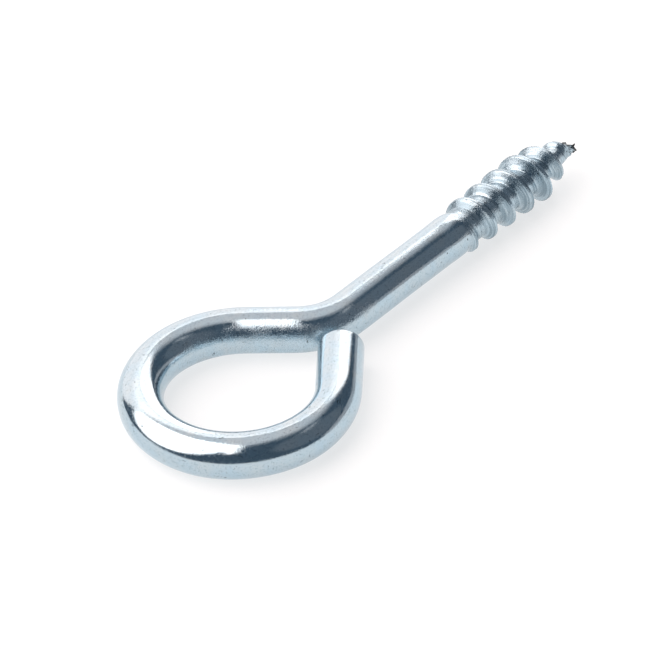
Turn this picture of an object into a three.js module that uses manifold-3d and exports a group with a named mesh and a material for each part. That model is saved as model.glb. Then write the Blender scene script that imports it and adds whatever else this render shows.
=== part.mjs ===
// A screw eye, in millimetres. It is one length of round steel wire: bent into a ring at one end,
// with the cut end left unwelded beside the neck, and rolled into a coarse wood-screw thread with a
// point at the other.
//
// The ring lies flat with its axis along +Z, and the shank points along +X. The origin is at the
// middle of the bounding box in X and Y, and level with its lowest point, the underside of the thread.

import * as THREE from "three";
import { mergeVertices } from "three/addons/utils/BufferGeometryUtils.js";
import Module from "manifold-3d";

const { degToRad, lerp, mapLinear, smoothstep } = THREE.MathUtils;

// Driving dimensions: lengths in mm, angles in degrees.
const wireDiameter = 6;
const eyeInnerDiameter = 18.7;
const overallLength = 81.7;

const neckTurn = 38.5; // angle round the ring, from +X, where the wire leaves it for the neck
const neckBendRadius = 8; // centreline radius of the bend from the neck into the shank
const shankOffset = 0.47; // how far the shank's axis lies to the -Y side of the ring's centre
const endTurn = 51.7; // angle round the ring, from +X the other way, where the cut end leaves it
const endGap = 0.6; // from the cut end, before its edge is rolled over, to the outside of the neck bend
const endChamfer = 0.5; // broken edge round the cut end

const threadLength = 23.8; // from the first run-out to the point
const threadPitch = 3.68;
const threadStartAngle = 115; // where the run-out begins, turning from +Y towards +Z
const runOutTurn = 0.3; // part of a turn over which the thread rises, and dies away on the point
const ridgeFoot = 2.9; // axial width of the thread's ridge where it meets the root
const ridgeCrest = 0.7; // axial width across its rounded crest
const ridgeSink = 0.25; // how far the ridge's foot runs under the root surface
const ridgeEnd = 1.5; // from the point back to where the ridge has died away
const crestRise = { start: 0.4, taper: 0.9, tip: -1.7 }; // of the crest above the wire's surface
const rootDepth = { start: 0.3, taper: 0.75, tip: 2.1 }; // of the root below the wire's surface
const pointLength = 7.7; // the tapered point
const tipChamfer = 0.6; // how far the blunt point rounds off

const prongLength = 1.1; // of the torn sliver left on the point where the blank was pinched off
const prongRadius = 0.24;
const prongShift = 0.2; // from the shank's axis
const prongTurn = 221; // where it lies, turning from +Y towards +Z

const swellRise = 0.06; // of the metal that rolling pushes back, just before the thread
const swellLength = 1.8;

// How finely the round shapes are faceted.
const wireSides = 24;
const wireSteps = 76;
const threadStepsPerTurn = 24;
const smallestFacet = 0.01; // mm; the joining cuts leave slivers thinner than this, and they are merged

// Places worked out from the sizes.
const wireRadius = wireDiameter / 2;
const ringRadius = (eyeInnerDiameter + wireDiameter) / 2; // to the wire's centreline
const ringX = (eyeInnerDiameter + 2 * wireDiameter - overallLength) / 2;
const tipX = overallLength / 2 - prongLength;
const threadX = tipX - threadLength;
const taperX = tipX - pointLength;

const ringCentre = new THREE.Vector2(ringX, 0);
const toNeck = degToRad(neckTurn);
const toEnd = degToRad(-endTurn);

// A unit vector at an angle from +X.
function heading(angle) {
  return new THREE.Vector2(Math.cos(angle), Math.sin(angle));
}

// The neck leaves the ring along its tangent, and a bend to the left brings it level with the shank.
const neckLeaves = heading(toNeck).multiplyScalar(ringRadius).add(ringCentre);
const neckHeading = heading(toNeck - Math.PI / 2);
const bendStartY = -shankOffset + neckBendRadius * (1 - Math.sin(toNeck));
const neckLength = (neckLeaves.y - bendStartY) / Math.cos(toNeck);
const bendStart = neckHeading.clone().multiplyScalar(neckLength).add(neckLeaves);
const bendCentre = heading(toNeck).multiplyScalar(neckBendRadius).add(bendStart);

// The other leg leaves the ring along its tangent too. Its nearest edge, the inner one, stops where it
// would come within endGap of the wire in the neck bend.
const endLeaves = heading(toEnd).multiplyScalar(ringRadius).add(ringCentre);
const endHeading = heading(toEnd + Math.PI / 2);
const innerEdge = heading(toEnd).multiplyScalar(-wireRadius).add(endLeaves);
const legLength = distanceToCircle(
  innerEdge,
  endHeading,
  bendCentre,
  neckBendRadius + wireRadius + endGap,
);
const cutEnd = endHeading.clone().multiplyScalar(legLength).add(endLeaves);

// How far a point travels along a direction before it meets a circle.
function distanceToCircle(from, direction, centre, radius) {
  const gap = from.clone().sub(centre);
  const along = gap.dot(direction);
  return -along - Math.sqrt(along * along - gap.lengthSq() + radius * radius);
}

// A flat path, bent in the XY plane, as a curve in space.
class BentWire extends THREE.Curve {
  constructor(path) {
    super();
    this.path = path;
    this.arcLengthDivisions = 800;
  }

  getPoint(t, target = new THREE.Vector3()) {
    const { x, y } = this.path.getPoint(t);
    return target.set(x, y, 0);
  }
}

// The wire's centreline, from the cut end, round the ring, along the neck and into the shank.
function wireCentreline(lastX) {
  const path = new THREE.Path();
  path.moveTo(cutEnd.x, cutEnd.y);
  path.lineTo(endLeaves.x, endLeaves.y);
  path.absarc(ringX, 0, ringRadius, toEnd, toNeck - 2 * Math.PI, true);
  path.lineTo(bendStart.x, bendStart.y);
  path.absarc(bendCentre.x, bendCentre.y, neckBendRadius, toNeck - Math.PI, -Math.PI / 2, false);
  path.lineTo(lastX, -shankOffset);
  return new BentWire(path);
}

// A value that changes evenly from the thread's start to the taper, and then down the point.
function along(x, { start, taper, tip }) {
  return x < taperX
    ? mapLinear(x, threadX, taperX, start, taper)
    : mapLinear(x, taperX, tipX, taper, tip);
}

const crestRadius = (x) => wireRadius + along(x, crestRise);
const rootRadius = (x) => wireRadius - along(x, rootDepth);

// The foot of the thread's ridge, a right-hand helix just under the root surface. Its frames point
// radially and along the axis, and their lengths carry the ridge's height and width at each place.
class RidgeFoot extends THREE.Curve {
  constructor(turns) {
    super();
    this.turns = turns;
    this.arcLengthDivisions = Math.ceil(turns) * 100;
  }

  getPoint(t, target = new THREE.Vector3()) {
    const turned = t * this.turns;
    const x = threadX + turned * threadPitch;
    const angle = degToRad(threadStartAngle) + turned * 2 * Math.PI;
    const radius = rootRadius(x) - ridgeSink;
    return target.set(x, radius * Math.cos(angle), radius * Math.sin(angle));
  }

  computeFrenetFrames(segments) {
    const frames = { tangents: [], normals: [], binormals: [] };
    for (let i = 0; i <= segments; i++) {
      const { x, y, z } = this.getPointAt(i / segments);
      const turned = (x - threadX) / threadPitch;
      const share = smoothstep(Math.min(turned, this.turns - turned), 0, runOutTurn);
      const height = ridgeSink * lerp(0.5, 1, share) + (crestRadius(x) - rootRadius(x)) * share;
      const width = lerp(0.6, 1, share) * (x < taperX ? 1 : mapLinear(x, taperX, tipX, 1, 0.4));
      frames.tangents.push(this.getTangentAt(i / segments));
      frames.normals.push(new THREE.Vector3(0, y, z).setLength(height));
      frames.binormals.push(new THREE.Vector3(-width, 0, 0));
    }
    return frames;
  }
}

// The ridge's section: how high, as a share of the full height, and how far along the axis.
function ridgeSection() {
  const foot = ridgeFoot / 2;
  const crest = ridgeCrest / 2;
  return new THREE.Shape([
    new THREE.Vector2(0, -foot),
    new THREE.Vector2(0.9, -crest),
    new THREE.Vector2(1, -crest / 3),
    new THREE.Vector2(1, crest / 3),
    new THREE.Vector2(0.9, crest),
    new THREE.Vector2(0, foot),
  ]);
}

// Turned about the shank's axis from [radius, x] pairs, each pair further along the axis than the last.
function turned(profile) {
  const points = profile.map(([radius, x]) => new THREE.Vector2(radius, x));
  return new THREE.LatheGeometry(points, wireSides).rotateZ(-Math.PI / 2);
}

// The bent wire, up to the place where the rolled end takes over.
function bentWire(lastX) {
  const section = new THREE.Shape().absarc(0, 0, wireRadius, 0, 2 * Math.PI);
  return new THREE.ExtrudeGeometry(section, {
    extrudePath: wireCentreline(lastX),
    steps: wireSteps,
    curveSegments: wireSides / 2, // of each half turn
  });
}

// The rolled end without its ridge: a slight swelling, the root, and the point.
function threadCore() {
  const swell = wireRadius + swellRise;
  const inside = wireRadius - 2 * swellRise;
  const rootX = threadX + threadPitch / 3;
  return turned([
    [0, threadX - 2 * swellLength],
    [inside, threadX - 2 * swellLength],
    [swell, threadX - swellLength],
    [swell, threadX - swellLength / 3],
    [rootRadius(rootX), rootX],
    [rootRadius(taperX), taperX],
    [rootRadius(tipX - tipChamfer), tipX - tipChamfer],
    [rootRadius(tipX) / 2, tipX],
    [0, tipX],
  ]);
}

// The helical ridge, from its run-out to where it dies away on the point.
function threadRidge() {
  const turns = (threadLength - ridgeEnd) / threadPitch;
  return new THREE.ExtrudeGeometry(ridgeSection(), {
    extrudePath: new RidgeFoot(turns),
    steps: Math.round(turns * threadStepsPerTurn),
  });
}

// The torn sliver, which thins towards its end and starts inside the point.
function prong() {
  const y = prongShift * Math.cos(degToRad(prongTurn));
  const z = prongShift * Math.sin(degToRad(prongTurn));
  return turned([
    [0, tipX - tipChamfer],
    [prongRadius, tipX - tipChamfer],
    [prongRadius, tipX + prongLength / 2],
    [prongRadius / 2, tipX + prongLength],
    [0, tipX + prongLength],
  ]).translate(0, y, z);
}

// A ring with a three-cornered section that takes the sharp edge off the cut end.
function endChamferCutter() {
  const past = 1;
  const profile = [
    [wireRadius - endChamfer - past, -past],
    [wireRadius + past, -past],
    [wireRadius + past, endChamfer + past],
    [wireRadius - endChamfer - past, -past],
  ].map(([radius, along]) => new THREE.Vector2(radius, along));
  return new THREE.LatheGeometry(profile, wireSides)
    .rotateZ(degToRad(-endTurn) + Math.PI)
    .translate(cutEnd.x, cutEnd.y, 0);
}

const wasm = await Module();
wasm.setup();

// A closed geometry as a manifold-3d solid.
function solid(geometry) {
  const bare = geometry.clone().deleteAttribute("normal").deleteAttribute("uv");
  const merged = mergeVertices(bare, 1e-4);
  return new wasm.Manifold(
    new wasm.Mesh({
      numProp: 3,
      vertProperties: merged.getAttribute("position").array,
      triVerts: new Uint32Array(merged.index.array),
    }),
  );
}

// A manifold-3d solid as a geometry.
function geometryOf(made) {
  const { vertProperties, triVerts } = made.getMesh();
  const geometry = new THREE.BufferGeometry();
  geometry.setAttribute("position", new THREE.BufferAttribute(vertProperties, 3));
  geometry.setIndex(new THREE.BufferAttribute(triVerts, 1));
  geometry.computeVertexNormals();
  geometry.computeBoundingBox();
  return geometry;
}

const brightZinc = new THREE.MeshStandardMaterial({
  color: "#b9c3c9",
  metalness: 1,
  roughness: 0.25,
});

// The whole wire as one solid: its bent end, its rolled end and the ridge on it.
function screwEye() {
  const rolled = solid(threadCore()).add(solid(threadRidge())).add(solid(prong()));
  const bent = solid(bentWire(threadX - swellLength)).subtract(solid(endChamferCutter()));
  const whole = bent.add(rolled.translate([0, -shankOffset, 0])).simplify(smallestFacet);
  const mesh = new THREE.Mesh(geometryOf(whole), brightZinc);
  mesh.name = "screw_eye";
  mesh.position.z = -mesh.geometry.boundingBox.min.z;
  return mesh;
}

const part = new THREE.Group();
part.add(screwEye());

export default part;
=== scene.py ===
import math

import bpy
import numpy as np
from mathutils import Matrix, Vector


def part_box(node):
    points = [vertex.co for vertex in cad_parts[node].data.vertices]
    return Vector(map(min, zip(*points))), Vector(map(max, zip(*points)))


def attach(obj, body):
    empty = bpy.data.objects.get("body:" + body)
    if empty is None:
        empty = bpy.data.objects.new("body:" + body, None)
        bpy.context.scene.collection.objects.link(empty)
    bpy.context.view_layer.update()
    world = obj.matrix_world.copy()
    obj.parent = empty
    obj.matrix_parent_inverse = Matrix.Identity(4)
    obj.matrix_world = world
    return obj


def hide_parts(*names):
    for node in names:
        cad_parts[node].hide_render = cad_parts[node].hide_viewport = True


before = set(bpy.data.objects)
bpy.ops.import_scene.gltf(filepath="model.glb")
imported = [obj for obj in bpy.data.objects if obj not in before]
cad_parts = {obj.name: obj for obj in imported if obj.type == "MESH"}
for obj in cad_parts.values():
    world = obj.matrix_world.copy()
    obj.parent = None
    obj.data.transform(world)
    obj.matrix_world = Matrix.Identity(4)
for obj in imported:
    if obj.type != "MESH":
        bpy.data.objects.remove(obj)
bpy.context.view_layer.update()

mm = 0.001


# One length of drawn steel wire, bent and left unwelded. Lengths in mm, angles in degrees.
wire = {
    "diameter": 6.0,
    "eyeInner": 18.7,
    "neckTurn": 38.5,       # round the ring from +X, where the wire leaves for the neck
    "neckBend": 8.0,        # centreline radius of the bend into the shank
    "shankOffset": 0.47,    # the shank's axis lies this far to the -Y side of the ring
    "endTurn": 51.7,        # round the ring the other way, where the cut end leaves it
    "endGap": 0.6,          # from the cut end, before its edge is rolled over, to the neck bend
    "endEdge": 0.75,        # radius of the rolled-over edge that the shear left
    "endDish": 0.25,        # depth of the hollow in the cut face
    "easing": 3.0,          # length over which one curvature eases into the next
    "sumStep": 0.02,        # step in which the centreline is summed
    "waver": 0.012,         # height of the slow unevenness left by bending and plating
    "waverSize": 4.5,
    "waverStretch": 0.35,   # lengths along the wire count this much, which draws the unevenness out
    "waverInward": 4,       # times its height that it is moved inwards, to stay within the diameter
    "roughFrom": 14.0,      # from the end of the ring back to where bending begins to roughen the wire
    "roughPast": 5.0,       # from the end of the neck bend on to where the wire is smooth again
    "roughEase": 8.0,
    "squeezedFrom": 0.55,   # where the squeezed inner side of a bend begins, as a cosine
    "squeezedEase": 0.3,
    "patchSize": 3.5,       # of the rougher patches on that side
    "ringStep": 0.42,       # between the mesh's rings
    "faceRings": 12,
    "edgeRings": 10,
    "sides": 132,
}

# The wood-screw thread rolled into the same wire. Each triple is at the start, the taper and the tip.
thread = {
    "length": 23.8,
    "pitch": 3.68,
    "startAngle": 115,      # of the run-out, from +Y towards +Z
    "runOut": 0.3,          # turns over which the ridge rises and dies away
    "crestRise": (0.4, 0.88, -1.7),  # how far the crest stands out of the wire's own radius
    "rootDepth": (0.3, 0.75, 2.1),   # and how far the root lies inside it
    "point": 7.7,           # length of the taper
    "crestHalf": 0.24,      # half the width of the ridge's crest, and of its foot
    "footHalf": 1.15,
    "flankCurve": 1.3,      # how hollow the flanks are; 1 would be straight
    "ridgeEnd": 1.1,        # from the point back to where the ridge is gone
    "lapDepth": 0.12,       # the seam along the crest, where the rolled metal meets
    "sinkTurns": 0.6,       # turns over which the root sinks to its depth
    "swell": 0.05,          # how much thicker the wire is just before the thread
    "swellLength": 1.6,
    "grain": 0.007,         # height of the roughness that rolling left
    "grainSize": 0.9,
    "rolledEase": 2.0,      # length over which the drawn surface becomes the rolled one
    "ringStep": 0.085,      # between the mesh's rings, from fineBefore ahead of the thread
    "fineBefore": 3.0,
}

# The torn tip, where the blank was pinched off: a ragged slanting face with one sliver of metal on it.
torn = {
    "prongLength": 1.1,
    "prongRadius": 0.32,
    "prongShift": 0.2,      # of the sliver from the axis
    "prongEase": 0.5,       # length over which the centre moves out
    "prongOval": 0.35,      # how much longer its radius is one way, and shorter the other, as a share
    "prongTwist": 2.0,      # radians that the oval turns along the sliver
    "prongTaper": 0.5,      # share of its radius that it has lost at its end
    "turn": 221,            # the side the sliver and the face lean to, from +Y towards +Z
    "slant": 0.42,          # how far the face leans forward on that side, and back on the other
    "faceEase": 0.25,       # length over which the point's radius drops to the sliver's
    "ragged": 0.16,         # unevenness of the face's edge along the axis
    "creased": 0.13,        # unevenness of the last of the point, as a share of its radius
    "creasedFrom": 2.0,     # from the end of the point back
    "crackedFrom": 2.6,     # from the end of the point back to where the painted shade on the tip begins
    "crackedSides": (0.3, 1.0),  # how far the painted shade shows on the side of the turn, and on the other
    "crackedEase": 0.3,
}

wireRadius = wire["diameter"] / 2
ringRadius = (wire["eyeInner"] + wire["diameter"]) / 2
lowest, highest = (np.array(corner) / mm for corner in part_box("screw_eye"))
farX = highest[0]
tipX = farX - torn["prongLength"]
axisZ = (lowest[2] + highest[2]) / 2
ringX = lowest[0] + ringRadius + wireRadius
threadX = tipX - thread["length"]
taperX = tipX - thread["point"]


def unit(degrees):
    return np.array([math.cos(math.radians(degrees)), math.sin(math.radians(degrees))])


# Each row is a stretch of the wire from the cut end on: its length, and how far it turns to the left.
def wireStretches():
    neckTurn, endTurn = wire["neckTurn"], wire["endTurn"]
    leavesRing = np.array([ringX, 0]) + ringRadius * unit(neckTurn)
    bendDrop = wire["neckBend"] * (1 - math.sin(math.radians(neckTurn)))
    neck = (leavesRing[1] + wire["shankOffset"] - bendDrop) / math.cos(math.radians(neckTurn))
    bendStart = leavesRing + neck * unit(neckTurn - 90)
    bendCentre = bendStart + wire["neckBend"] * unit(neckTurn)
    # the leg's inner edge runs on until it is endGap short of the wire in the neck bend
    innerEdge = np.array([ringX, 0]) + (ringRadius - wireRadius) * unit(-endTurn)
    toBend = innerEdge - bendCentre
    along = toBend @ unit(90 - endTurn)
    reach = wire["neckBend"] + wireRadius + wire["endGap"]
    leg = -along - math.sqrt(along**2 - toBend @ toBend + reach**2)
    return [
        (leg, 0),
        (ringRadius * math.radians(360 - neckTurn - endTurn), neckTurn + endTurn - 360),
        (neck, 0),
        (wire["neckBend"] * math.radians(90 - neckTurn), 90 - neckTurn),
        (farX - bendCentre[0], 0),
    ]


# The centreline: its heading turns evenly along each stretch, a moving average eases the changes,
# and the place is the running sum of the heading's cosine and sine, ending at the tip.
def centreline(stations):
    lengths, turns = np.array(wireStretches()).T
    knots = np.concatenate([[0], np.cumsum(lengths)])
    headings = np.concatenate([[0], np.cumsum(turns)]) - turns.sum()
    step = wire["sumStep"]
    fine = np.arange(-wire["easing"], knots[-1] + wire["easing"], step)
    window = np.hanning(int(wire["easing"] / step))
    eased = np.convolve(np.interp(fine, knots, headings), window / window.sum(), "same")
    radians = np.radians(eased)
    x = np.cumsum(np.cos(radians)) * step
    y = np.cumsum(np.sin(radians)) * step
    end = knots[-1]
    x += farX - np.interp(end, fine, x)
    y += -wire["shankOffset"] - np.interp(end, fine, y)
    return [np.interp(stations, fine, column) for column in (x, y, radians)]


# Sum of many plane waves with random directions and phases, each 0.7 to 1.5 times the wavelength long,
# so it has no seam. Its height is about one.
def unevenness(points, wavelength, seed, count=28):
    rng = np.random.default_rng(seed)
    directions = rng.normal(size=(count, 3))
    directions /= np.linalg.norm(directions, axis=1)[:, None]
    numbers = 2 * math.pi / (wavelength * rng.uniform(0.7, 1.5, count))
    phases = rng.uniform(0, 2 * math.pi, count)
    total = np.zeros(points.shape[:-1])
    for direction, number, phase in zip(directions, numbers, phases):
        total += np.cos(points @ (direction * number) + phase)
    return total * math.sqrt(2 / count)


def smoothRamp(t):
    t = np.clip(t, 0, 1)
    return t * t * (3 - 2 * t)


# A thread value at x: it changes evenly from the start to the taper, and then down the point.
def alongThread(x, triple):
    return np.interp(x, [threadX, taperX, tipX], triple)  # held past the tip


# Where a point lies on the right-hand helix: the turns made, and the distance along x from its crest.
def helixPlace(x, angle):
    angleTurns = (angle - math.radians(thread["startAngle"])) / (2 * math.pi)
    fromStart = (x - threadX) / thread["pitch"] - angleTurns
    nearest = np.round(fromStart)
    return angleTurns + nearest, (fromStart - nearest) * thread["pitch"]


# The thread's radius: core + height * (1 - distance from the crest)**flankCurve, faded at both ends,
# less the lap's groove, which is as deep as the place is near the middle of the crest.
def threadRadius(x, turned, fromCrest):
    offset = abs(fromCrest)
    turns = (thread["length"] - thread["ridgeEnd"]) / thread["pitch"]
    share = smoothRamp(turned / thread["runOut"]) * smoothRamp((turns - turned) / thread["runOut"])
    root = wireRadius - alongThread(x, thread["rootDepth"])
    crest = wireRadius + alongThread(x, thread["crestRise"])
    # the root sinks to its depth from half a swellLength ahead of the thread, and ahead of that the wire
    # has a slight swelling, a smooth hump that reaches 1.5 swellLengths each way
    sinkLength = thread["pitch"] * thread["sinkTurns"]
    sunk = smoothRamp((x - threadX + thread["swellLength"] / 2) / sinkLength)
    swelling = smoothRamp(1 - abs(x - threadX + thread["swellLength"]) / (1.5 * thread["swellLength"]))
    core = wireRadius + thread["swell"] * swelling + (root - wireRadius) * sunk
    crestHalf, footHalf = thread["crestHalf"], thread["footHalf"]
    away = np.clip((offset - crestHalf) / (footHalf - crestHalf), 0, 1)
    lap = thread["lapDepth"] * np.clip(1 - offset / crestHalf, 0, 1)
    return core + share * (np.maximum(crest - core, 0) * (1 - away) ** thread["flankCurve"] - lap)


# The torn tip. The point's last stretch is creased by waves round it and along it, and its radius
# drops to the sliver's at a face that slants: faceX = tipX + slant * cos(angle - turn) + ragged edge.
# The edge is 5 waves and 9 lower ones round the point. The centre moves out by prongShift.
def tornTip(x, angle, radius):
    fromTurn = angle - math.radians(torn["turn"])
    creasing = torn["creased"] * smoothRamp((x - tipX + torn["creasedFrom"]) / torn["creasedFrom"])
    creases = (np.cos(3 * angle + 2 * x) + np.cos(8 * angle - 3 * x) + np.cos(5 * x)) / 2
    edge = torn["ragged"] * (np.cos(5 * angle + 1) + 0.7 * np.cos(9 * angle))
    faceX = tipX + torn["slant"] * np.cos(fromTurn) + edge
    toProng = smoothRamp((x - faceX) / torn["faceEase"] + 0.5)
    way = np.clip((x - tipX) / torn["prongLength"], 0, 1)
    oval = 1 + torn["prongOval"] * np.cos(2 * (fromTurn + torn["prongTwist"] * way))
    prong = torn["prongRadius"] * oval * (1 - torn["prongTaper"] * way**2)
    body = radius * (1 + creasing * creases)
    shift = torn["prongShift"] * smoothRamp((x - tipX) / torn["prongEase"] + 0.5)
    return body + (prong - body) * toProng, shift


# Rings of the grid: how far along the wire each lies, and its radius as a share of the full one. The
# cut face is slightly dished, and its edge is a quarter circle.
def ringStations(end):
    edge = wire["endEdge"]
    flat = 1 - edge / wireRadius
    innermost = 0.02  # the first ring, close to the pole
    dish = np.linspace(innermost, flat, wire["faceRings"])
    roll = np.linspace(0, math.pi / 2, wire["edgeRings"])[1:]
    threadAt = end - (farX - threadX) - thread["fineBefore"]
    plain = np.linspace(edge, threadAt, int((threadAt - edge) / wire["ringStep"]))[1:]
    rolled = np.linspace(threadAt, end, int((end - threadAt) / thread["ringStep"]))[1:]
    stations = [wire["endDish"] * (1 - (dish / flat) ** 2), edge * (1 - np.cos(roll)), plain, rolled]
    shares = [dish, flat + (1 - flat) * np.sin(roll), np.ones_like(plain), np.ones_like(rolled)]
    return np.concatenate(stations), np.concatenate(shares)


# How many times higher the plating grain is: higher all over the thread, and in patches on the side
# that bending squeezed, from the last of the ring to just past the neck bend.
def grainTimes(s, a, straight, rolled):
    ringEnd, bendEnd = np.cumsum([length for length, _ in wireStretches()])[[1, 3]]
    begins = smoothRamp((s - ringEnd + wire["roughFrom"]) / wire["roughEase"])
    ends = smoothRamp((bendEnd + wire["roughPast"] - s) / wire["roughEase"])
    innerSide = smoothRamp((-np.cos(a) - wire["squeezedFrom"]) / wire["squeezedEase"])
    patches = 0.5 + 0.5 * smoothRamp(0.5 + 0.5 * unevenness(straight, wire["patchSize"], seed=7))
    return 1 + zinc["rolledGrain"] * rolled + zinc["bentGrain"] * begins * ends * innerSide * patches


# How far the torn tip's painted shade shows: more towards the tip and on its upper side, and all over
# the sliver.
def shadeOnTip(x, a):
    least, most = torn["crackedSides"]
    side = (most + least) / 2 - (most - least) / 2 * np.cos(a - math.radians(torn["turn"]))
    nearTip = smoothRamp((x - tipX + torn["crackedFrom"]) / torn["crackedFrom"])
    return side * nearTip + smoothRamp((x - tipX) / torn["crackedEase"])


# The whole wire: point = centreline + radius * (cos(angle) * left + sin(angle) * up), and near the tip
# the centreline is shifted towards the prong. The values are what the material's patterns follow.
def wireSurface():
    end = np.cumsum([length for length, _ in wireStretches()])[-1]
    stations, shares = ringStations(end)
    cx, cy, heading = centreline(stations)
    angle = np.arange(wire["sides"]) * 2 * math.pi / wire["sides"]
    s, a = np.meshgrid(stations, angle, indexing="ij")
    x = farX - (end - s)
    turned, fromCrest = helixPlace(x, a)
    nearThread = x > threadX - 3 * thread["swellLength"]  # the swelling begins past this
    radius = np.where(nearThread, threadRadius(x, turned, fromCrest), wireRadius)
    radius, shift = tornTip(x, a, radius)
    straight = np.stack([s, radius * np.cos(a), radius * np.sin(a)], axis=-1)
    alongHelix = np.stack([turned * 2 * math.pi * wireRadius, fromCrest, radius], axis=-1)
    lined = np.where((x > threadX)[..., None], alongHelix, straight)
    rolled = smoothRamp((x - threadX) / thread["rolledEase"] + 0.5)
    drawnOut = straight * [wire["waverStretch"], 1, 1]
    slow = wire["waver"] * (unevenness(drawnOut, wire["waverSize"], seed=3) - wire["waverInward"])
    rough = thread["grain"] * unevenness(straight, thread["grainSize"], seed=5) * rolled
    coarse = grainTimes(s, a, straight, rolled)
    radius = (radius + slow + rough) * shares[:, None]
    left = np.stack([-np.sin(heading), np.cos(heading), np.zeros_like(heading)], axis=-1)
    centre = np.stack([cx, cy, np.full_like(cx, axisZ)], axis=-1)
    up = np.array([0, 0, 1.0])
    leftward = radius * np.cos(a) + shift * math.cos(math.radians(torn["turn"]))
    upward = radius * np.sin(a) + shift * math.sin(math.radians(torn["turn"]))
    points = centre[:, None] + leftward[..., None] * left[:, None] + upward[..., None] * up
    values = {"drawn": straight * mm, "lined": lined * mm}
    # the last value is where the torn tip gets painted shade
    values.update(rolled=rolled, coarse=coarse, cracked=shadeOnTip(x, a))
    return points, values


# A closed mesh from a grid of rings: quads between rings, and a fan to a pole at each end. Each value
# becomes an attribute, and at a pole it is its ring's average.
def meshFromRings(name, points, values):
    rings, sides = points.shape[:2]
    flat = points.reshape(-1, 3)
    poles = np.stack([points[0].mean(axis=0), points[-1].mean(axis=0)])
    verts = np.concatenate([flat, poles]) * mm
    i, j = np.meshgrid(np.arange(rings - 1), np.arange(sides), indexing="ij")
    here, beside = i * sides + j, i * sides + (j + 1) % sides
    quads = np.stack([here, beside, beside + sides, here + sides], axis=-1).reshape(-1, 4)
    k = np.arange(sides)
    after = (k + 1) % sides
    first, last = len(flat), len(flat) + 1
    base = (rings - 1) * sides
    startFan = np.stack([np.full(sides, first), after, k], axis=-1)
    endFan = np.stack([np.full(sides, last), base + k, base + after], axis=-1)
    mesh = bpy.data.meshes.new(name)
    mesh.from_pydata(verts.tolist(), [], quads.tolist() + startFan.tolist() + endFan.tolist())
    mesh.polygons.foreach_set("use_smooth", np.ones(len(mesh.polygons), bool))
    for label, array in values.items():
        kind, field = ("FLOAT_VECTOR", "vector") if array.ndim == 3 else ("FLOAT", "value")
        ends = np.stack([array[0].mean(axis=0), array[-1].mean(axis=0)])
        whole = np.concatenate([array.reshape(-1, *array.shape[2:]), ends]).astype(np.float32)
        mesh.attributes.new(label, kind, "POINT").data.foreach_set(field, whole.ravel())
    mesh.validate()
    return mesh


def makeScrewEye():
    points, values = wireSurface()
    mesh = meshFromRings("screwEyeWire", points, values)
    piece = bpy.data.objects.new("screwEyeWire", mesh)
    bpy.context.scene.collection.objects.link(piece)
    mesh.materials.append(brightZinc())
    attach(piece, "root")
    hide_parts("screw_eye")
    print("wire:", len(mesh.vertices), "vertices,", len(mesh.polygons), "faces")


# sRGB hex to the linear numbers that shaders use
def linear(hexColour):
    channels = [int(hexColour[k : k + 2], 16) / 255 for k in (1, 3, 5)]
    return [c / 12.92 if c <= 0.04045 else ((c + 0.055) / 1.055) ** 2.4 for c in channels] + [1]


# A node with its settings, its sockets' values, and links into its sockets.
def addNode(tree, kind, values=None, links=None, **settings):
    node = tree.nodes.new(kind)
    for key, value in settings.items():
        setattr(node, key, value)
    for socket, value in (values or {}).items():
        node.inputs[socket].default_value = value
    for socket, source in (links or {}).items():
        tree.links.new(source, node.inputs[socket])
    return node


# Bright zinc, electroplated on drawn steel wire and blue passivated. It gives the eye a blue-white
# metal, glossy but not a mirror: reflections have grainy edges, with faint lines along the wire from
# drawing, and small nicks from tumbling in the plating barrel. The rolled thread is duller and
# speckled. Sizes in mm. Plating grain is about 0.02 mm and drawing lines about 0.05 mm wide, and both
# are drawn coarser so that they show. A range is of a noise, from no effect to the whole of it.
zinc = {
    "colour": "#b3c8d4",
    "stain": "#bccad1",         # where the passivation is thinner
    "stainSize": 2.5,
    "stainRange": (0.35, 0.7),
    "hollowShade": "#a4b6c1",           # painted shade in the grain's hollows
    "hollowShadeRange": (0.47, 0.33),
    "dull": "#8c9faa",          # the streaks that rolling left on the thread
    "streakRange": (0.42, 0.62),
    "roughness": (0.04, 0.2),
    "glossRange": (0.48, 0.68),
    "coarseRoughness": 0.034,   # added for each time that the grain is higher
    "grainSize": 0.24,
    "grainHeight": 0.009,
    "rolledGrain": 3.5,         # how many times higher the grain is on the thread, besides
    "bentGrain": 5.5,           # and in the patches where bending has roughened it
    "lineWidth": 0.35,
    "lineLength": 7.0,
    "lineHeight": 0.009,
    "rolledLine": 0.6,          # how many times higher the lines are on the thread, besides
    "nickSpacing": 5.0,
    "nickRadius": 0.07,         # as a share of the spacing
    "nickDepth": 0.01,
    "tipShadeColour": "#23292b",    # near-black painted shade on the torn tip and its sliver
    "tipShadeSize": 0.5,
    "tipShadeShare": 0.35,          # how much the place on the tip counts besides the noise
    "tipShadeRange": (0.66, 0.74),
}


def perMetre(millimetres):
    return 1 / (millimetres * mm)


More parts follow.
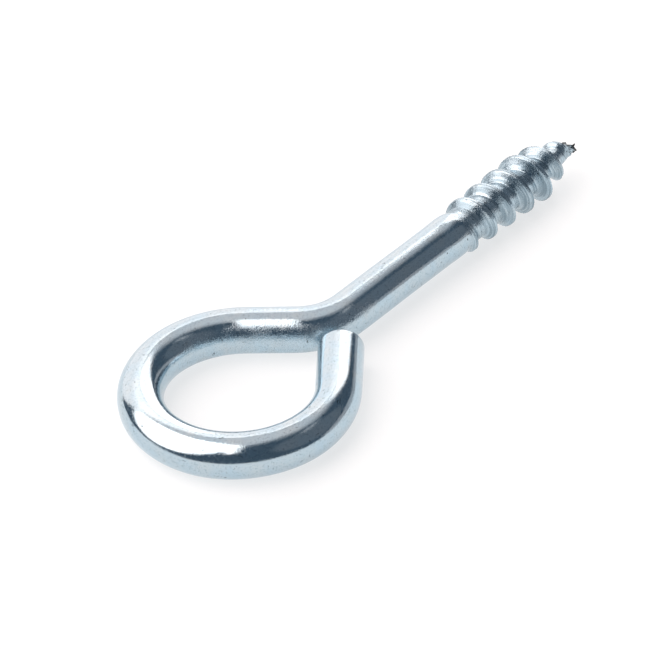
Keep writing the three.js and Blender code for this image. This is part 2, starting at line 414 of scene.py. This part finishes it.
def brightZinc():
    material = bpy.data.materials.new("brightZincPlating")
    material.use_nodes = True
    tree = material.node_tree
    shader = tree.nodes["Principled BSDF"]
    shader.inputs["Metallic"].default_value = 1.0
    drawn = addNode(tree, "ShaderNodeAttribute", attribute_name="drawn").outputs["Vector"]
    lined = addNode(tree, "ShaderNodeAttribute", attribute_name="lined").outputs["Vector"]
    rolled = addNode(tree, "ShaderNodeAttribute", attribute_name="rolled").outputs["Fac"]
    coarse = addNode(tree, "ShaderNodeAttribute", attribute_name="coarse").outputs["Fac"]
    # where the torn tip gets its painted shade
    cracked = addNode(tree, "ShaderNodeAttribute", attribute_name="cracked").outputs["Fac"]

    # lines left along the wire by the drawing die, and along the ridge by the rolling dies
    across, length = perMetre(zinc["lineWidth"]), perMetre(zinc["lineLength"])
    stretched = addNode(
        tree, "ShaderNodeMapping", {"Scale": (length, across, across)}, {"Vector": lined}
    )
    lines = addNode(
        tree, "ShaderNodeTexNoise", {"Scale": 1, "Detail": 3}, {"Vector": stretched.outputs[0]}
    )
    lineTimes = addNode(
        tree,
        "ShaderNodeMath",
        {1: zinc["rolledLine"], 2: 1},
        {0: rolled},
        operation="MULTIPLY_ADD",
    )
    lineRise = addNode(
        tree,
        "ShaderNodeMath",
        links={0: lines.outputs["Fac"], 1: lineTimes.outputs[0]},
        operation="MULTIPLY",
    )
    lineBump = addNode(
        tree,
        "ShaderNodeBump",
        {"Distance": zinc["lineHeight"] * mm},
        {"Height": lineRise.outputs[0]},
    )

    # plating grain, higher where it is coarse
    grain = addNode(
        tree,
        "ShaderNodeTexNoise",
        {"Scale": perMetre(zinc["grainSize"]), "Detail": 4, "Roughness": 0.65},
        {"Vector": drawn},
    )
    height = addNode(
        tree,
        "ShaderNodeMath",
        links={0: grain.outputs["Fac"], 1: coarse},
        operation="MULTIPLY",
    )
    grainBump = addNode(
        tree,
        "ShaderNodeBump",
        {"Distance": zinc["grainHeight"] * mm},
        {"Height": height.outputs[0], "Normal": lineBump.outputs[0]},
    )

    # nicks: a hollow round some points of a cell pattern
    cells = addNode(
        tree,
        "ShaderNodeTexVoronoi",
        {"Scale": perMetre(zinc["nickSpacing"]), "Randomness": 1},
        {"Vector": drawn},
    )
    hollow = addNode(
        tree,
        "ShaderNodeMapRange",
        {"From Min": 0, "From Max": zinc["nickRadius"]},
        {"Value": cells.outputs["Distance"]},
        interpolation_type="SMOOTHSTEP",
    )
    nickBump = addNode(
        tree,
        "ShaderNodeBump",
        {"Distance": zinc["nickDepth"] * mm},
        {"Height": hollow.outputs[0], "Normal": grainBump.outputs[0]},
    )
    tree.links.new(nickBump.outputs[0], shader.inputs["Normal"])

    # the roughness follows the grain, and is higher where the grain is coarse
    low, high = zinc["roughness"]
    fine, rough = zinc["glossRange"]
    gloss = addNode(
        tree,
        "ShaderNodeMapRange",
        {"From Min": fine, "From Max": rough, "To Min": low, "To Max": high},
        {"Value": grain.outputs["Fac"]},
    )
    roughness = addNode(
        tree,
        "ShaderNodeMath",
        {1: zinc["coarseRoughness"]},
        {0: coarse, 2: gloss.outputs[0]},
        operation="MULTIPLY_ADD",
    )
    tree.links.new(roughness.outputs[0], shader.inputs["Roughness"])

    # the passivation's colour drifts, the grain's hollows get a painted shade, the thread has dull
    # streaks, and the torn tip gets a near-black painted shade in crack-like marks
    drift = addNode(
        tree,
        "ShaderNodeTexNoise",
        {"Scale": perMetre(zinc["stainSize"]), "Detail": 3},
        {"Vector": drawn},
    )
    drifted = addNode(
        tree,
        "ShaderNodeMapRange",
        {"From Min": zinc["stainRange"][0], "From Max": zinc["stainRange"][1]},
        {"Value": drift.outputs["Fac"]},
    )
    metal = addNode(
        tree,
        "ShaderNodeMixRGB",
        {"Color1": linear(zinc["colour"]), "Color2": linear(zinc["stain"])},
        {"Fac": drifted.outputs[0]},
    )
    # painted shade: darker where the grain's bump is lowest, in its hollows
    hollowShading = addNode(
        tree,
        "ShaderNodeMapRange",
        {"From Min": zinc["hollowShadeRange"][0], "From Max": zinc["hollowShadeRange"][1]},
        {"Value": grain.outputs["Fac"]},
    )
    hollowShaded = addNode(
        tree,
        "ShaderNodeMixRGB",
        {"Color2": linear(zinc["hollowShade"])},
        {"Color1": metal.outputs[0], "Fac": hollowShading.outputs[0]},
    )
    streaks = addNode(
        tree,
        "ShaderNodeMapRange",
        {"From Min": zinc["streakRange"][0], "From Max": zinc["streakRange"][1]},
        {"Value": lines.outputs["Fac"]},
    )
    dulling = addNode(
        tree,
        "ShaderNodeMath",
        links={0: streaks.outputs[0], 1: rolled},
        operation="MULTIPLY",
    )
    dulled = addNode(
        tree,
        "ShaderNodeMixRGB",
        {"Color2": linear(zinc["dull"])},
        {"Color1": hollowShaded.outputs[0], "Fac": dulling.outputs[0]},
    )
    # near-black painted shade on the torn tip and its sliver, its edge broken by a noise into crack-like
    # marks
    tipShadeNoise = addNode(
        tree,
        "ShaderNodeTexNoise",
        {"Scale": perMetre(zinc["tipShadeSize"]), "Detail": 3, "Distortion": 1.5},
        {"Vector": drawn},
    )
    deep = addNode(
        tree,
        "ShaderNodeMath",
        {1: zinc["tipShadeShare"]},
        {0: cracked, 2: tipShadeNoise.outputs["Fac"]},
        operation="MULTIPLY_ADD",
    )
    dark = addNode(
        tree,
        "ShaderNodeMapRange",
        {"From Min": zinc["tipShadeRange"][0], "From Max": zinc["tipShadeRange"][1]},
        {"Value": deep.outputs[0]},
    )
    colour = addNode(
        tree,
        "ShaderNodeMixRGB",
        {"Color2": linear(zinc["tipShadeColour"])},
        {"Color1": dulled.outputs[0], "Fac": dark.outputs[0]},
    )
    tree.links.new(colour.outputs[0], shader.inputs["Base Color"])
    print("zinc:", len(tree.nodes), "nodes")
    return material


# Looking down on the part from the ring's side. Angles in degrees, lengths in metres.
view = {
    "turn": 47.05,          # of the view about the vertical, from the shank's own direction
    "elevation": 38.16,
    "roll": 3.44,
    "distance": 0.561,
    "aimRight": 0.01064,    # from the ring's centre to the middle of the picture
    "aimUp": 0.00831,
    "lens": 249.6,
    "sensor": 36.0,
}


def makeCamera():
    turn, elevation, roll = (math.radians(view[key]) for key in ("turn", "elevation", "roll"))
    level = Vector((math.cos(turn), -math.sin(turn), 0))
    away = Vector((math.sin(turn), math.cos(turn), 0))
    up = Vector((0, 0, 1))
    forward = math.cos(elevation) * away - math.sin(elevation) * up
    lift = math.sin(elevation) * away + math.cos(elevation) * up
    right = math.cos(roll) * level - math.sin(roll) * lift
    top = math.sin(roll) * level + math.cos(roll) * lift
    ringCentre = Vector((ringX, 0, axisZ)) * mm
    aim = ringCentre + view["aimRight"] * right + view["aimUp"] * top
    data = bpy.data.cameras.new("camera")
    data.lens = view["lens"]
    data.sensor_width = view["sensor"]
    data.clip_start = 0.01
    camera = bpy.data.objects.new("camera", data)
    bpy.context.scene.collection.objects.link(camera)
    axes = Matrix((right, top, -forward)).transposed().to_4x4()
    camera.matrix_world = Matrix.Translation(aim - view["distance"] * forward) @ axes
    bpy.context.scene.camera = camera
    print("camera at", [round(v, 4) for v in camera.location])


# Matt white card, paper pulp pressed smooth. It gives the eye an even white with no gloss, and it is
# lit through from below, as on a light table, so that the part's shadow stays faint.
card = {
    "halfWidth": 3.0,           # in metres
    "colour": "#989b9d",
    "roughness": 0.9,
    "glowColour": "#ffffff",
    "glowStrength": 0.69,
}


def whiteCard():
    material = bpy.data.materials.new("whiteCard")
    material.use_nodes = True
    shader = material.node_tree.nodes["Principled BSDF"]
    shader.inputs["Base Color"].default_value = linear(card["colour"])
    shader.inputs["Roughness"].default_value = card["roughness"]
    shader.inputs["Emission Color"].default_value = linear(card["glowColour"])
    shader.inputs["Emission Strength"].default_value = card["glowStrength"]
    return material


# The card leans with the part, which rests on the far side of its ring and on the thread's widest
# turn: height = the bottom of that turn + slope * distance from it towards the ring.
def makeFloor():
    crest = wireRadius + thread["crestRise"][1]
    reach = taperX - (ringX - ringRadius)
    slope = (crest - wireRadius) / reach
    bottom = (axisZ - crest) * mm
    half = card["halfWidth"]
    x = np.array([-half, half, half, -half])
    y = np.array([-half, -half, half, half])
    z = bottom + slope * (taperX * mm - x)
    mesh = bpy.data.meshes.new("floor")
    mesh.from_pydata(np.stack([x, y, z], axis=-1).tolist(), [], [(0, 1, 2, 3)])
    mesh.materials.append(whiteCard())
    floor = bpy.data.objects.new("floor", mesh)
    bpy.context.scene.collection.objects.link(floor)
    print("floor: leans", round(math.degrees(math.atan(slope)), 2), "degrees")


# Softboxes and reflectors round the table. Each is a flat panel that faces the part from a turn about
# the vertical and a height above the table, in degrees. Its centre is moved sideways and up, and its
# size is given, as shares of its distance. Its tilt is about its own middle, in degrees. Radiance 1 is
# the white of the finished picture.
panels = {
    "keySoftbox": {
        "turn": 150, "height": 45, "tilt": 0, "radiance": 2.6,
        "shift": (-0.19, 0.03), "size": (1.46, 1.54),
    },
    "keyWing": {
        "turn": 150, "height": 45, "tilt": -31, "radiance": 2.6,
        "shift": (0.38, 0.58), "size": (1.0, 0.28),
    },
    "backSoftbox": {
        "turn": 30, "height": 30, "tilt": 0, "radiance": 2.2,
        "shift": (-0.09, -0.12), "size": (0.58, 0.84),
    },
    "whiteReflector": {
        "turn": 64, "height": 18, "tilt": 0, "radiance": 1.45,
        "shift": (0, 0), "size": (1.2, 1.24),
    },
    "greyWall": {
        "turn": -66, "height": 36, "tilt": 0, "radiance": 0.085,
        "shift": (0, 0), "size": (1.4, 0.9),
    },
    "lowWall": {
        "turn": -26, "height": 4, "tilt": 0, "radiance": 0.45,
        "shift": (0, 0), "size": (1.6, 0.3),
    },
    "farLamp": {
        "turn": -40, "height": 57, "tilt": 0, "radiance": 0.5,
        "shift": (0, 0), "size": (0.3, 0.1),
    },
}
panelColour = "#fff0e9"
panelDistance = 1.8  # in metres

# the room's light, and the glow on its ceiling, which fades in between two cosines from its middle
surroundings = {
    "room": "#515f6c",
    "ceiling": "#f9efed",
    "ceilingTurn": 60,
    "ceilingHeight": 68,
    "ceilingFrom": 0.78,
    "ceilingTo": 0.96,
}


# A unit vector at a turn from +X towards +Y and a height above the table.
def towards(turn, height):
    level, lift = math.cos(math.radians(height)), math.sin(math.radians(height))
    return Vector((level * math.cos(math.radians(turn)), level * math.sin(math.radians(turn)), lift))


def makePanels():
    for name, panel in panels.items():
        out = towards(panel["turn"], panel["height"])
        side = Vector((0, 0, 1)).cross(out).normalized()
        up = out.cross(side)
        light = bpy.data.lights.new(name, "AREA")
        light.shape = "ELLIPSE"
        light.color = linear(panelColour)[:3]
        light.size, light.size_y = (share * panelDistance for share in panel["size"])
        # power = radiance * pi * the area of the ellipse
        light.energy = panel["radiance"] * math.pi * (math.pi / 4) * light.size * light.size_y
        lamp = bpy.data.objects.new(name, light)
        bpy.context.scene.collection.objects.link(lamp)
        across, above = panel["shift"]
        place = panelDistance * (out + across * side + above * up)
        tilted = Matrix.Rotation(math.radians(panel["tilt"]), 4, "Z")
        axes = Matrix((side, up, out)).transposed().to_4x4() @ tilted
        lamp.matrix_world = Matrix.Translation(place) @ axes
    print("softboxes:", len(panels))


# A dim room, with a ceiling that glows towards one side.
def makeSurroundings():
    world = bpy.data.worlds.new("studio")
    bpy.context.scene.world = world
    world.use_nodes = True
    tree = world.node_tree
    where = addNode(tree, "ShaderNodeTexCoord")
    facing = addNode(
        tree,
        "ShaderNodeVectorMath",
        {1: towards(surroundings["ceilingTurn"], surroundings["ceilingHeight"])},
        {0: where.outputs["Generated"]},
        operation="DOT_PRODUCT",
    )
    glow = addNode(
        tree,
        "ShaderNodeMapRange",
        {"From Min": surroundings["ceilingFrom"], "From Max": surroundings["ceilingTo"]},
        {"Value": facing.outputs["Value"]},
        interpolation_type="SMOOTHSTEP",
    )
    mix = addNode(
        tree,
        "ShaderNodeMixRGB",
        {"Color1": linear(surroundings["room"]), "Color2": linear(surroundings["ceiling"])},
        {"Fac": glow.outputs["Result"]},
    )
    tree.links.new(mix.outputs["Color"], tree.nodes["Background"].inputs["Color"])
    print("room:", surroundings["room"], "with a ceiling of", surroundings["ceiling"])


makeCamera()
makeScrewEye()
makeFloor()
makePanels()
makeSurroundings()
bpy.context.scene.view_settings.view_transform = "Standard"
